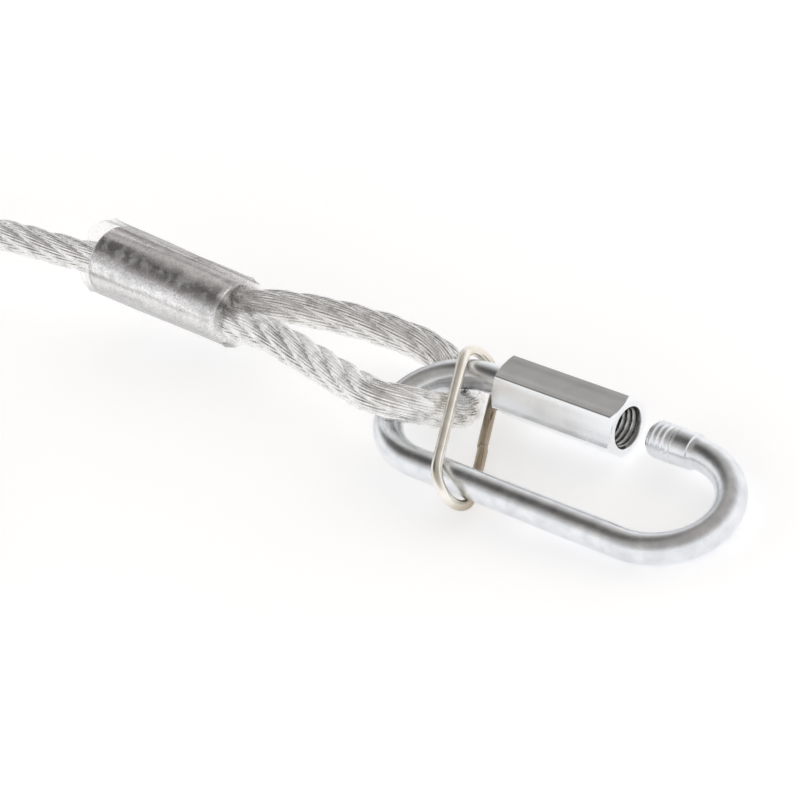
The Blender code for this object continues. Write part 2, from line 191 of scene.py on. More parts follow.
NUT_FLATS = 9.2
NUT_LENGTH = 24.0
NUT_LEFT_X = -16.6
NUT_FACE_R = 4.45
NUT_MOUTH_R = 4.1
NUT_CORNER_CUT = 0.055         # how much of each corner is rounded off
NUT_CORNER_FALL = 0.00144      # and how fast it falls away, per square degree
NUT_BORE_CREST_R = 3.12
NUT_BORE_ROOT_R = 3.46
NUT_BORE_PLAIN_R = 3.2
NUT_BORE_PLAIN_X = 12.0        # the thread is cut from here to the open end

CLIP_R = 0.9
CLIP_END_R = 4.25
CLIP_REAR = Vector((-22.6, 10.0, 0.2))
CLIP_FRONT = Vector((-11.7, -10.8, 0.2))
CLIP_LEAN = Vector((-3.3, -1.9, 8.0))
CLIP_JOINT_AT = 0.56           # of the lower bar, from the rear
CLIP_JOINT_GAP = 0.10
CLIP_JOINT_STEP = 0.20         # how far the two ends are out of line
CLIP_JOINT_REACH = 3.0         # how much of each end is straight
CLIP_STEP = 0.3


# ---- geometry helpers ----
def circle(count):
    """Angles evenly round a circle."""
    return np.linspace(0.0, TAU, count, endpoint=False)


def lengths_along(line):
    """The length of a polyline up to each of its points."""
    return np.concatenate(([0.0], np.cumsum(np.linalg.norm(np.diff(line, axis=0), axis=1))))


def linked_object(name, data):
    """A new object in the scene."""
    obj = bpy.data.objects.new(name, data)
    bpy.context.scene.collection.objects.link(obj)
    return obj


def smooth_route(knots, step):
    """Points on a smooth curve through the knots, about step millimetres apart."""
    knots = [Vector(knot) for knot in knots]
    padded = [2 * knots[0] - knots[1]] + knots + [2 * knots[-1] - knots[-2]]
    route = []
    for p0, p1, p2, p3 in zip(padded, padded[1:], padded[2:], padded[3:]):
        pieces = max(1, round((p2 - p1).length / step))
        start_slope = (p2 - p0) * (p2 - p1).length / ((p2 - p1).length + (p1 - p0).length)
        end_slope = (p3 - p1) * (p2 - p1).length / ((p3 - p2).length + (p2 - p1).length)
        for piece in range(pieces):
            t = piece / pieces
            route.append(
                p1 * (2 * t**3 - 3 * t**2 + 1) + start_slope * (t**3 - 2 * t**2 + t)
                + p2 * (3 * t**2 - 2 * t**3) + end_slope * (t**3 - t**2)
            )
    route.append(knots[-1])
    return route


def even_points(points, step):
    """The polyline's points again, an even step apart, after two rounds of smoothing."""
    line = np.asarray([tuple(point) for point in points], float)
    for spacing in (step * 2, step):
        lengths = lengths_along(line)
        count = max(4, int(round(lengths[-1] / spacing)) + 1)
        at = np.linspace(0.0, lengths[-1], count)
        line = np.column_stack([np.interp(at, lengths, line[:, i]) for i in range(3)])
        for _ in range(3):
            line[1:-1] = 0.25 * line[:-2] + 0.5 * line[1:-1] + 0.25 * line[2:]
    return line


def path_frames(line):
    """Normal and binormal at each point of a line, turning as little as possible."""
    tangent = np.gradient(line, axis=0)
    tangent /= np.linalg.norm(tangent, axis=1)[:, None]
    normal = np.zeros_like(line)
    start = np.cross(tangent[0], (0.0, 0.0, 1.0))
    if np.linalg.norm(start) < 0.1:
        start = np.cross(tangent[0], (0.0, 1.0, 0.0))
    normal[0] = start / np.linalg.norm(start)
    for i in range(1, len(line)):
        carried = normal[i - 1] - tangent[i] * np.dot(normal[i - 1], tangent[i])
        normal[i] = carried / np.linalg.norm(carried)
    return normal, np.cross(tangent, normal)


def tube_rings(line, frames, radii, angles):
    """Rings round a line; radii has one row a ring, of one value or of one for each angle."""
    normal, binormal = frames
    return (
        line[:, None, :]
        + (radii * np.cos(angles))[:, :, None] * normal[:, None, :]
        + (radii * np.sin(angles))[:, :, None] * binormal[:, None, :]
    )


def ring_round_x(x, radius, angles):
    """One ring round local X; x and radius are one value each, or one for each angle."""
    x = np.broadcast_to(x, angles.shape)
    return np.column_stack([x, radius * np.cos(angles), radius * np.sin(angles)])


def grid_object(name, rings, loop=False):
    """A skin through rings, an array (rings, points, 3) in metres, with end caps or closed to a loop."""
    rows, cols = rings.shape[:2]
    index = np.arange(rows * cols).reshape(rows, cols)
    last = rows if loop else rows - 1
    upper = index[np.arange(last)]
    lower = index[(np.arange(last) + 1) % rows]
    quads = np.stack([upper, np.roll(upper, -1, axis=1), np.roll(lower, -1, axis=1), lower], axis=-1)
    faces = quads.reshape(-1, 4).tolist()
    if not loop:
        faces.append(index[0][::-1].tolist())
        faces.append(index[-1].tolist())
    mesh = bpy.data.meshes.new(name)
    mesh.from_pydata(rings.reshape(-1, 3).tolist(), [], faces)
    mesh.validate()
    shape = bmesh.new()
    shape.from_mesh(mesh)
    bmesh.ops.recalc_face_normals(shape, faces=shape.faces)
    shape.to_mesh(mesh)
    shape.free()
    mesh.polygons.foreach_set("use_smooth", [True] * len(mesh.polygons))
    mesh.set_sharp_from_angle(angle=math.radians(SHARP_DEG))
    return linked_object(name, mesh)


def join(name, objects):
    """One object made of several meshes."""
    shape = bmesh.new()
    for obj in objects:
        shape.from_mesh(obj.data)
        bpy.data.objects.remove(obj, do_unlink=True)
    mesh = bpy.data.meshes.new(name)
    shape.to_mesh(mesh)
    shape.free()
    return linked_object(name, mesh)


def placed(points, matrix):
    """Local points in millimetres, any array shape, as metres in the row's frame."""
    flat = np.asarray(points, float).reshape(-1, 3) * MM
    turned = flat @ np.array(matrix.to_3x3()).T + np.array(matrix.translation)
    return turned.reshape(np.asarray(points).shape)


def smoothstep(low, high, value):
    """From 0 at low to 1 at high, level at both."""
    t = np.clip((np.asarray(value, float) - low) / (high - low), 0.0, 1.0)
    return t * t * (3 - 2 * t)


def axis_frame(origin, direction, up=Vector((0.0, 0.0, 1.0))):
    """A frame at origin, in metres, with X along direction and Z close to up."""
    x_axis = Vector(direction).normalized()
    y_axis = up.cross(x_axis).normalized()
    z_axis = x_axis.cross(y_axis)
    rotation = Matrix((x_axis, y_axis, z_axis)).transposed().to_4x4()
    return Matrix.Translation(origin) @ rotation


def fourier(angles, waves):
    """A sum of cosine waves: (count round the circle, size, phase) each."""
    return sum(size * np.cos(count * angles + phase) for count, size, phase in waves)


def around(angles, centre, width):
    """A smooth bump round a circle, 1 at its centre."""
    away = (angles - centre + math.pi) % TAU - math.pi
    return np.exp(-((away / width) ** 2))


# ---- materials ----
def new_node(tree, kind, inputs=(), **settings):
    """A shader node with its input values and its settings."""
    made = tree.nodes.new(kind)
    for key, value in settings.items():
        setattr(made, key, value)
    for key, value in dict(inputs).items():
        made.inputs[key].default_value = value
    return made


def base_material(name, color, metallic, roughness):
    """A plain material, with its node tree and its shader."""
    material = bpy.data.materials.new(name)
    material.use_nodes = True
    tree = material.node_tree
    shader = tree.nodes["Principled BSDF"]
    shader.inputs["Base Color"].default_value = (*color, 1.0)
    shader.inputs["Metallic"].default_value = metallic
    shader.inputs["Roughness"].default_value = roughness
    return material, tree, shader


def object_coordinates(tree):
    return new_node(tree, "ShaderNodeTexCoord").outputs["Object"]


def noise(tree, vector, feature_mm, detail=3.0, roughness=0.55):
    """Noise with features of about the given size."""
    texture = new_node(
        tree, "ShaderNodeTexNoise",
        {"Scale": 1.0 / (feature_mm * MM), "Detail": detail, "Roughness": roughness},
    )
    tree.links.new(vector, texture.inputs["Vector"])
    return texture.outputs["Fac"]


def remap(tree, value, low, high, to_low, to_high):
    """A value moved from one range to another, and kept within it."""
    node = new_node(
        tree, "ShaderNodeMapRange",
        {"From Min": low, "From Max": high, "To Min": to_low, "To Max": to_high},
    )
    tree.links.new(value, node.inputs["Value"])
    return node.outputs["Result"]


def ramp(tree, value, stops):
    """A colour for each value, from stops of (value, colour)."""
    node = new_node(tree, "ShaderNodeValToRGB")
    elements = node.color_ramp.elements
    while len(elements) > len(stops):
        elements.remove(elements[-1])
    while len(elements) < len(stops):
        elements.new(0.5)
    for element, (at, color) in zip(elements, stops):
        element.position = at
        element.color = (*color, 1.0)
    tree.links.new(value, node.inputs["Fac"])
    return node.outputs["Color"]


def multiply(tree, first, second):
    """Two colours multiplied."""
    node = new_node(tree, "ShaderNodeMix", {0: 1.0}, data_type="RGBA", blend_type="MULTIPLY")
    tree.links.new(first, node.inputs[6])
    tree.links.new(second, node.inputs[7])
    return node.outputs[2]


def calculate(tree, operation, first, second):
    """A maths node on one value and another value or a plain number."""
    node = new_node(tree, "ShaderNodeMath", operation=operation)
    for socket, given in zip(node.inputs, (first, second)):
        if isinstance(given, (int, float)):
            socket.default_value = given
        else:
            tree.links.new(given, socket)
    return node.outputs["Value"]


def local_coordinates(tree, matrix):
    """Coordinates in a part's own frame, in metres, as three values and as a vector."""
    mapping = new_node(
        tree, "ShaderNodeMapping",
        {"Location": matrix.translation, "Rotation": matrix.to_euler()}, vector_type="TEXTURE",
    )
    tree.links.new(object_coordinates(tree), mapping.inputs["Vector"])
    split = new_node(tree, "ShaderNodeSeparateXYZ")
    tree.links.new(mapping.outputs["Vector"], split.inputs["Vector"])
    return split.outputs["X"], split.outputs["Y"], split.outputs["Z"], mapping.outputs["Vector"]


def bump(tree, shader, height, strength, depth_mm, normal=None):
    """Relief on a material, over an earlier normal if one is given."""
    node = new_node(tree, "ShaderNodeBump", {"Strength": strength, "Distance": depth_mm * MM})
    tree.links.new(height, node.inputs["Height"])
    if normal is not None:
        tree.links.new(normal, node.inputs["Normal"])
    tree.links.new(node.outputs["Normal"], shader.inputs["Normal"])
    return node.outputs["Normal"]


def plated_steel(name, tones, rough, grain_mm, grain_depth, blotch_mm):
    """Plated steel: tones is (darker, lighter) colour, rough is (low, high)."""
    darker, lighter = tones
    material, tree, shader = base_material(name, lighter, 1.0, rough[0])
    vector = object_coordinates(tree)
    blotch = noise(tree, vector, blotch_mm, 4.0)
    tree.links.new(ramp(tree, blotch, [(0.35, darker), (0.65, lighter)]), shader.inputs["Base Color"])
    fine = noise(tree, vector, grain_mm, 2.0)
    tree.links.new(remap(tree, blotch, 0.3, 0.7, rough[0], rough[1]), shader.inputs["Roughness"])
    bump(tree, shader, fine, 0.6, grain_depth)
    return material


def with_painted_shade(material, tone):
    """The material with its base colour multiplied by a tone of painted shade."""
    tree = material.node_tree
    base_color = tree.nodes["Principled BSDF"].inputs["Base Color"]
    tree.links.new(multiply(tree, base_color.links[0].from_socket, tone), base_color)
    return material


def nut_material():
    """Zinc outside, with painted shade inside the threaded hole."""
    tones = ((0.90, 0.915, 0.935), (0.95, 0.965, 0.985))
    material = plated_steel("zinc_nut", tones, (0.20, 0.28), 0.5, 0.006, 4.5)
    tree = material.node_tree
    _, y, z, _ = local_coordinates(tree, LINK)
    y = calculate(tree, "SUBTRACT", y, ARM_Y * MM)
    square = calculate(tree, "ADD", calculate(tree, "MULTIPLY", y, y), calculate(tree, "MULTIPLY", z, z))
    radius = calculate(tree, "SQRT", square, 0.0)
    # Painted shade inside the bore, by the radius from the nut's axis; the outside keeps its zinc colour.
    inside = ramp(tree, remap(tree, radius, 3.0 * MM, 4.0 * MM, 0.0, 1.0), [
        (0.15, (0.62, 0.61, 0.58)), (0.42, (0.20, 0.20, 0.19)), (0.52, (1.0, 1.0, 1.0)),
    ])
    return with_painted_shade(material, inside)


def clip_material():
    """Nickel-gold wire, with painted shade, darker and browner, on the bar that lies underneath."""
    tones = ((0.82, 0.77, 0.68), (0.94, 0.91, 0.85))
    material = plated_steel("clip_nickel", tones, (0.16, 0.26), 0.3, 0.010, 3.0)
    tree = material.node_tree
    _, _, z, _ = local_coordinates(tree, LINK)
    # Painted shade: the wire darker and browner the lower it lies in the link's frame.
    height = remap(tree, z, -5.0 * MM, 1.0 * MM, 0.0, 1.0)
    tone = ramp(tree, height, [(0.25, (0.44, 0.36, 0.27)), (0.9, (1.0, 1.0, 1.0))])
    return with_painted_shade(material, tone)


def rope_material():
    """Galvanised wires, bright with greyer patches."""
    material, tree, shader = base_material("galvanised_wires", (0.82, 0.82, 0.80), 0.9, 0.34)
    vector = object_coordinates(tree)
    patch = noise(tree, vector, 2.2, 3.0)
    color = ramp(tree, patch, [
        (0.3, (0.66, 0.655, 0.64)), (0.5, (0.92, 0.915, 0.90)), (0.7, (1.0, 0.995, 0.985)),
    ])
    tree.links.new(color, shader.inputs["Base Color"])
    shine = remap(tree, noise(tree, vector, 0.7, 2.0), 0.3, 0.7, 0.20, 0.36)
    tree.links.new(shine, shader.inputs["Roughness"])
    bump(tree, shader, noise(tree, vector, 0.30, 2.0), 0.6, 0.06)
    return material


def ferrule_material(side, matrix):
    """Pressed aluminium: long brown-grey bands of painted reflection, a mottled dark band of painted
    reflection, a painted highlight and bright specks.
    """
    material, tree, shader = base_material(f"pressed_aluminium_{side}", (0.78, 0.76, 0.75), 1.0, 0.2)
    x, y, z, vector = local_coordinates(tree, matrix)
    turn = calculate(tree, "ARCTAN2", calculate(tree, "MULTIPLY", y, -1.0), z)
    turn = calculate(tree, "ADD", turn, calculate(tree, "MULTIPLY", x, PAINTED_BAND_DRIFT))
    long_way = new_node(tree, "ShaderNodeMapping", {"Scale": (0.22, 1.0, 1.0)})
    tree.links.new(vector, long_way.inputs["Vector"])
    wander = remap(tree, noise(tree, long_way.outputs["Vector"], 2.2, 4.0), 0.3, 0.7, -0.09, 0.09)
    place = remap(tree, calculate(tree, "ADD", turn, wander), -math.pi, math.pi, 0.0, 1.0)
    # Painted reflections: dark and bright bands set by the angle round the ferrule's axis.
    painted_reflections = ramp(tree, place, [(0.5 + degrees / 360.0, tone) for degrees, tone in PAINTED_REFLECTION_BANDS])
    mottle = ramp(tree, noise(tree, vector, 0.45, 6.0, 0.8), [
        (0.40, (0.74, 0.73, 0.73)), (0.52, (1.0, 1.0, 1.0)), (0.62, (1.25, 1.25, 1.27)),
    ])
    tree.links.new(multiply(tree, painted_reflections, mottle), shader.inputs["Base Color"])
    specks = noise(tree, vector, 0.35, 4.0, 0.7)
    tree.links.new(remap(tree, specks, 0.38, 0.62, 0.08, 0.28), shader.inputs["Roughness"])
    bump(tree, shader, specks, 0.4, 0.03, bump(tree, shader, wander, 0.3, 0.15))
    return material


def film_material():
    """Clear film, seen mostly at its grazing edges and where it is crumpled, with painted shade darkening it
    towards those edges.
    """
    material, tree, shader = base_material("clear_film", (0.93, 0.93, 0.935), 0.0, 0.12)
    facing = new_node(tree, "ShaderNodeLayerWeight", {"Blend": 0.4})
    vector = object_coordinates(tree)
    edge = remap(tree, facing.outputs["Facing"], 0.30, 0.90, 0.05, 0.90)
    haze = remap(tree, noise(tree, vector, 2.5, 4.0), 0.48, 0.72, 0.0, 0.22)
    total = new_node(tree, "ShaderNodeMath", operation="ADD", use_clamp=True)
    tree.links.new(edge, total.inputs[0])
    tree.links.new(haze, total.inputs[1])
    tree.links.new(total.outputs["Value"], shader.inputs["Alpha"])
    # Painted shade: the film's colour darker the more it turns away from the camera.
    tone = ramp(tree, facing.outputs["Facing"], [
        (0.35, (0.85, 0.85, 0.85)), (0.85, (0.42, 0.42, 0.43)), (1.0, (0.28, 0.28, 0.29)),
    ])
    tree.links.new(tone, shader.inputs["Base Color"])
    bump(tree, shader, noise(tree, vector, 1.4, 3.0), 0.4, 0.12)
    return material


def strap_material():
    """Black woven strap."""
    material, tree, shader = base_material("woven_strap", (0.055, 0.055, 0.06), 0.0, 0.75)
    vector = object_coordinates(tree)
    weave = new_node(tree, "ShaderNodeTexVoronoi", {"Scale": 2200.0, "Randomness": 0.25})
    tree.links.new(vector, weave.inputs["Vector"])
    color = ramp(tree, weave.outputs["Distance"], [(0.0, (0.09, 0.09, 0.10)), (0.7, (0.035, 0.035, 0.04))])
    tree.links.new(color, shader.inputs["Base Color"])
    bump(tree, shader, weave.outputs["Distance"], 0.8, 0.15)
    return material


def finish_piece(obj, material, body, slot, *nodes):
    """Gives a piece its material, its body and the CAD nodes it stands for."""
    obj.data.materials.clear()
    obj.data.materials.append(material)
    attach(obj, body)
    if nodes:
        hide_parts(*nodes)
    return obj


# ---- the link's frame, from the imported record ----
def link_matrix():
    """X and Z from the nut's slide and the nut's top flat, the place from the link's hinge."""
    joints = {joint["name"]: joint for joint in frame["record"]["behaviour"]["joints"]}
    mounts = {mount["name"]: mount for mount in frame["record"]["mounts"]}
    x_axis = Vector(joints["nut_screw"]["axis"]).normalized()
    z_axis = Vector(mounts["nut_top_flat"]["axis"]).normalized()
    centre = Vector(joints["link_swing"]["pos_m"]) - x_axis * HINGE_X * MM
    return axis_frame(centre, x_axis, z_axis)


LINK = link_matrix()
ARM_Y = LINK_WIDTH / 2 - ROD_R
STRAIGHT_X = LINK_LENGTH / 2 - ROD_R - BOW_REACH    # half of each arm's straight length

ZINC = plated_steel("zinc_rod", ((0.72, 0.74, 0.77), (0.87, 0.885, 0.91)), (0.20, 0.28), 0.25, 0.030, 3.0)
NUT_ZINC = nut_material()
CLIP_METAL = clip_material()
ROPE_WIRES = rope_material()
FILM = film_material()
STRAP = strap_material()


# ---- camera, floor and light ----
def make_camera():
    data = bpy.data.cameras.new("camera")
    data.lens = CAMERA_LENS
    data.sensor_width = CAMERA_SENSOR
    data.clip_start = 0.01
    camera = linked_object("camera", data)
    look = (CAMERA_LOOKS_AT - CAMERA_AT).to_track_quat("-Z", "Y").to_matrix().to_4x4()
    roll = Matrix.Rotation(math.radians(CAMERA_ROLL_DEG), 4, "Z")
    camera.matrix_world = Matrix.Translation(CAMERA_AT) @ look @ roll
    bpy.context.scene.camera = camera


def make_floor():
    bpy.ops.mesh.primitive_circle_add(
        vertices=96, radius=FLOOR_RADIUS, fill_type="NGON", location=(0.0, 0.0, 0.0))
    floor = bpy.context.object
    floor.name = "floor"
    material, _, shader = base_material("floor_white", FLOOR_TONE, 0.0, 0.9)
    shader.inputs["Emission Color"].default_value = (1.0, 1.0, 1.0, 1.0)
    shader.inputs["Emission Strength"].default_value = FLOOR_GLOW
    floor.data.materials.append(material)


def make_lamp(name, at, size, watts):
    """A soft rectangular lamp, itself unseen in the metal."""
    data = bpy.data.lights.new(name, "AREA")
    data.shape = "RECTANGLE"
    data.size, data.size_y = size
    data.energy = watts
    lamp = linked_object(name, data)
    lamp.visible_glossy = False
    turn = (LAMP_AIM - Vector(at)).to_track_quat("-Z", "Y").to_matrix().to_4x4()
    lamp.matrix_world = Matrix.Translation(at) @ turn


def make_world():
    """Bright at the horizon, greyer overhead, with dark patches that make the bands in the metal."""
    world = bpy.data.worlds.new("studio")
    bpy.context.scene.world = world
    world.use_nodes = True
    tree = world.node_tree
    background = tree.nodes["Background"]
    coordinates = new_node(tree, "ShaderNodeTexCoord")
    split = new_node(tree, "ShaderNodeSeparateXYZ")
    tree.links.new(coordinates.outputs["Generated"], split.inputs["Vector"])
    sky = ramp(tree, split.outputs["Z"], SKY)
    for direction, (outer, inner), depth in DARK_PATCHES:
        toward = new_node(tree, "ShaderNodeVectorMath", {1: direction}, operation="DOT_PRODUCT")
        tree.links.new(coordinates.outputs["Generated"], toward.inputs[0])
        patch = ramp(tree, toward.outputs["Value"], [(outer, (1.0,) * 3), (inner, (depth,) * 3)])
        sky = multiply(tree, sky, patch)
    tree.links.new(sky, background.inputs["Color"])
    background.inputs["Strength"].default_value = SKY_STRENGTH


def make_stage():
    make_camera()
    make_floor()
    make_world()
    for lamp in LAMPS:
        make_lamp(*lamp)
    scene = bpy.context.scene
    scene.view_settings.view_transform = "Standard"
    scene.view_settings.look = "None"
    scene.view_settings.exposure = 0.0


# ---- the rope ----
def wire_profile(points_per_wire):
    """Radius factors round a strand: a round lobe for each outer wire."""
    at = np.arange(WIRES * points_per_wire) / points_per_wire
    across = np.abs((at % 1.0) - 0.5) * 2.0
    return 1.0 - WIRE_DEPTH * across**2


def strand_rings(line, lengths, frames, scale, phase_shift, strand, profile):
    """The rings of one twisted strand, with its wires, in millimetres."""
    normal, binormal = frames
    phase = lengths * TAU / ROPE_LAY + strand * TAU / STRANDS + phase_shift
    outward = np.cos(phase)[:, None] * normal + np.sin(phase)[:, None] * binormal
    centres = line + outward * (STRAND_RING_R * scale)[:, None]
    along = np.gradient(centres, axis=0)
    along /= np.linalg.norm(along, axis=1)[:, None]
    side = np.cross(along, outward)
    side /= np.linalg.norm(side, axis=1)[:, None]
    out = np.cross(side, along)
    wobble = 1.0 + 0.02 * np.sin(lengths * 0.9 + strand * 2.1) + 0.012 * np.sin(lengths * 2.3 + strand)
    angles = circle(len(profile))[None, :] + (lengths * WIRE_TURN)[:, None]
    radius = STRAND_R * (scale * wobble)[:, None] * profile[None, :]
    return (
        centres[:, None, :]
        + (radius * np.cos(angles))[:, :, None] * out[:, None, :]
        + (STRAND_FLAT * radius * np.sin(angles))[:, :, None] * side[:, None, :]
    )


def rope_object(name, line, step, squeezed, points_per_wire, phase_shift=0.0):
    """Six twisted strands of wires and a core along a route in millimetres.

    squeezed is the length inside a ferrule at either end.
    """
    line = even_points(line, step)
    frames = path_frames(line)
    lengths = lengths_along(line)
    scale = SQUEEZE + (1 - SQUEEZE) * (
        smoothstep(squeezed - 0.5, squeezed + SQUEEZE_EASE, lengths)
        * smoothstep(squeezed - 0.5, squeezed + SQUEEZE_EASE, lengths[-1] - lengths)
    )
    profile = wire_profile(points_per_wire)
    parts = []
    for strand in range(STRANDS):
        rings = strand_rings(line, lengths, frames, scale, phase_shift, strand, profile)
        parts.append(grid_object(f"{name}_strand", rings * MM))
    core = tube_rings(line, frames, CORE_R * scale[:, None], circle(12))
    parts.append(grid_object(f"{name}_core", core[::2] * MM))
    return join(name, parts), line


def route_point(point):
    return Vector(point) + ROUTE_SHIFT


def near_frame():
    """The near ferrule's frame: X along it, to the eye."""
    left, right = (route_point(point) for point in NEAR_FERRULE)
    return axis_frame((left + right) / 2 * MM, right - left)


def leave_point():
    """Where the rope leaves the coil, and its direction there."""
    angle = math.radians(COIL_LEAVE_DEG)
    outward = Vector((math.cos(angle), math.sin(angle), 0.0))
    forward = Vector((-math.sin(angle), math.cos(angle), 0.0))
    return COIL_CENTRE + outward * COIL_MEAN_R, forward


def far_frame():
    """The far ferrule's frame: X along it, to the eye."""
    start, forward = leave_point()
    centre = route_point(start + forward * (FAR_LEAD_LENGTH + FERRULE_LENGTH / 2))
    centre.z = FAR_AXIS_Z
    return axis_frame(centre * MM, forward)


def local_points(frame_matrix, points):
    """Points in a ferrule's frame, in millimetres, as route points."""
    return [(frame_matrix @ (Vector(point) * MM)) / MM for point in points]


def eye_line(frame_matrix, knots, knots_are_local):
    """The live leg through the ferrule, the eye, and the dead end back through the ferrule."""
    half = FERRULE_LENGTH / 2
    inside = [-half + 1.5, -half / 2, 0.0, half - 3.0]
    leave_x = half + EYE_LEG_STRAIGHT + 0.6
    leave_z = 0.0 if knots_are_local else EYE_EXIT_Z
    first = [(x, -LEG_OFFSET, 0.0) for x in inside] + [(leave_x, -EYE_LEG_OFFSET + 0.1, leave_z)]
    last = [(leave_x, EYE_LEG_OFFSET - 0.1, leave_z)] + [(x, LEG_OFFSET, 0.0) for x in reversed(inside)]
    if knots_are_local:
        middle = local_points(frame_matrix, [(x + half, y, z) for x, y, z in knots])
    else:
        middle = [route_point(knot) for knot in knots]
    knots = local_points(frame_matrix, first) + middle + local_points(frame_matrix, last)
    return smooth_route(knots, ROUTE_STEP)


def coil_height(angle_deg):
    """Rope centre of the turn on the ground; it steps up over the tie."""
    from_tie = abs((angle_deg - TIE_ANGLE_DEG + 180.0) % 360.0 - 180.0)
    down = float(smoothstep(*TIE_STEP_DEG, from_tie))
    return COIL_GROUND_Z + (COIL_OVER_TIE_Z - COIL_GROUND_Z) * (1 - down)


def coil_points():
    """From the turn on the ground at the join, up onto it, to where the upper turn leaves."""
    turn = COIL_LEAVE_DEG + 360.0 - COIL_JOIN_DEG
    overlap = COIL_LEAVE_DEG - COIL_JOIN_DEG
    points = []
    for i in range(1, int(turn / COIL_POINT_DEG)):
        gone = i * COIL_POINT_DEG
        angle = math.radians(COIL_JOIN_DEG + gone)
        raised = COIL_TURN_PITCH * float(smoothstep(overlap, COIL_CLIMB_END_DEG, gone))
        height = coil_height(COIL_JOIN_DEG + gone) + raised
        outward = Vector((math.cos(angle), math.sin(angle), 0.0))
        points.append(COIL_CENTRE + outward * COIL_MEAN_R + Vector((0.0, 0.0, height)))
    return [route_point(point) for point in points]


def main_line():
    """The rope from the near ferrule through the coil to the far ferrule."""
    half = FERRULE_LENGTH / 2
    near, far = near_frame(), far_frame()
    start = local_points(near, [(-half + 4.0, 0.0, LINE_EXIT_Z / 2), (-half - 2.5, 0.0, LINE_EXIT_Z)])
    leave, forward = leave_point()
    top = COIL_GROUND_Z + COIL_TURN_PITCH
    lead = [
        route_point(leave + forward * gone + Vector((0.0, 0.0, top - down)))
        for gone, down in ((2.0, 0.0), (13.0, 0.9))
    ]
    end = local_points(far, [(-half - 3.0, 0.0, 0.0), (-half + 4.0, 0.0, 0.0)])
    knots = start + [route_point(point) for point in LINE] + coil_points() + lead + end
    return smooth_route(knots, ROUTE_STEP)


def make_eye(side, line, step, points_per_wire):
    """The rope of one eye with its two legs, and its centre line."""
    eye, line = rope_object(f"rope_{side}_eye", line, step, LEG_SQUEEZED, points_per_wire)
    finish_piece(
        eye, ROPE_WIRES, "rope", "wire_rope",
        f"rope_eye_{side}", f"rope_live_leg_{side}", f"rope_dead_end_{side}",
    )
    return eye, line


# ---- ferrules and sleeves ----
def barrel_radius(along):
    """The tapered barrel's radius, from 0 at its left end to 1 at its right end."""
    return FERRULE_LEFT_R + (FERRULE_RIGHT_R - FERRULE_LEFT_R) * along


def ferrule_profile():
    """Places and radii along the barrel, with a pocket in each end round the ropes."""
    half = FERRULE_LENGTH / 2
    profile = [
        (-half + 2.2, 0.05), (-half + 2.0, 3.6), (-half + 0.1, 4.6), (-half, 5.0),
        (-half + 0.02, FERRULE_LEFT_R - 0.45), (-half + 0.15, FERRULE_LEFT_R - 0.2),
        (-half + 0.5, FERRULE_LEFT_R - 0.03),
    ]
    for x in np.linspace(-half + 1.2, half - 1.2, 40):
        profile.append((x, barrel_radius((x + half) / FERRULE_LENGTH)))
    return profile + [
        (half - 0.5, FERRULE_RIGHT_R - 0.03), (half - 0.15, FERRULE_RIGHT_R - 0.2),
        (half - 0.02, FERRULE_RIGHT_R - 0.4), (half, FERRULE_RIGHT_R - 0.6),
        (half - 0.1, FERRULE_RIGHT_R - 0.8), (half - 0.5, 4.4), (half - 0.7, 0.05),
    ]


def ferrule_dents(x, angles):
    """What the press has added to the radius, away from the rims: an oval and shallow ripples."""
    if abs(x) > FERRULE_LENGTH / 2 - 1.0:
        return 0.0
    oval = 0.05 * np.cos(2 * angles + 0.4) - 0.05
    return oval + 0.018 * np.cos(5 * angles + x * 0.35) + 0.012 * np.cos(9 * angles - x * 0.6 + 1.0)


def make_ferrule(side, frame_matrix):
    """A pressed barrel, a little oval and dented."""
    angles = circle(96)
    rings = [ring_round_x(x, r + ferrule_dents(x, angles), angles) for x, r in ferrule_profile()]
    ferrule = grid_object(f"pressed_ferrule_{side}", placed(rings, frame_matrix))
    metal = ferrule_material(side, frame_matrix)
    return finish_piece(ferrule, metal, "rope", "aluminium", f"ferrule_{side}")


def film_radius(x, angles, fold_turn, waves):
    """The sleeve's outer radius: shrunk on, with a long fold, two lower ridges and fine wrinkles."""
    along = (x + SLEEVE_LENGTH / 2) / SLEEVE_LENGTH
    r = barrel_radius(np.clip(along, 0.03, 0.97)) + FILM_RISE
    r = r + sum(size * np.cos(count * angles + phase + lean * x) for count, size, phase, lean in waves)
    fold = fold_turn - FILM_FOLD_DRIFT * along
    r = r + (0.70 + 0.30 * along) * around(angles, fold, 0.16)
    r = r + 0.50 * around(angles, fold - 0.36, 0.16)
    r = r + 0.35 * (1 - along) * around(angles, fold + 0.55, 0.22)
    rim = smoothstep(SLEEVE_LENGTH / 2 - 0.9, SLEEVE_LENGTH / 2 - 0.3, np.abs(x))
    return r + FILM_RIM_RISE * rim


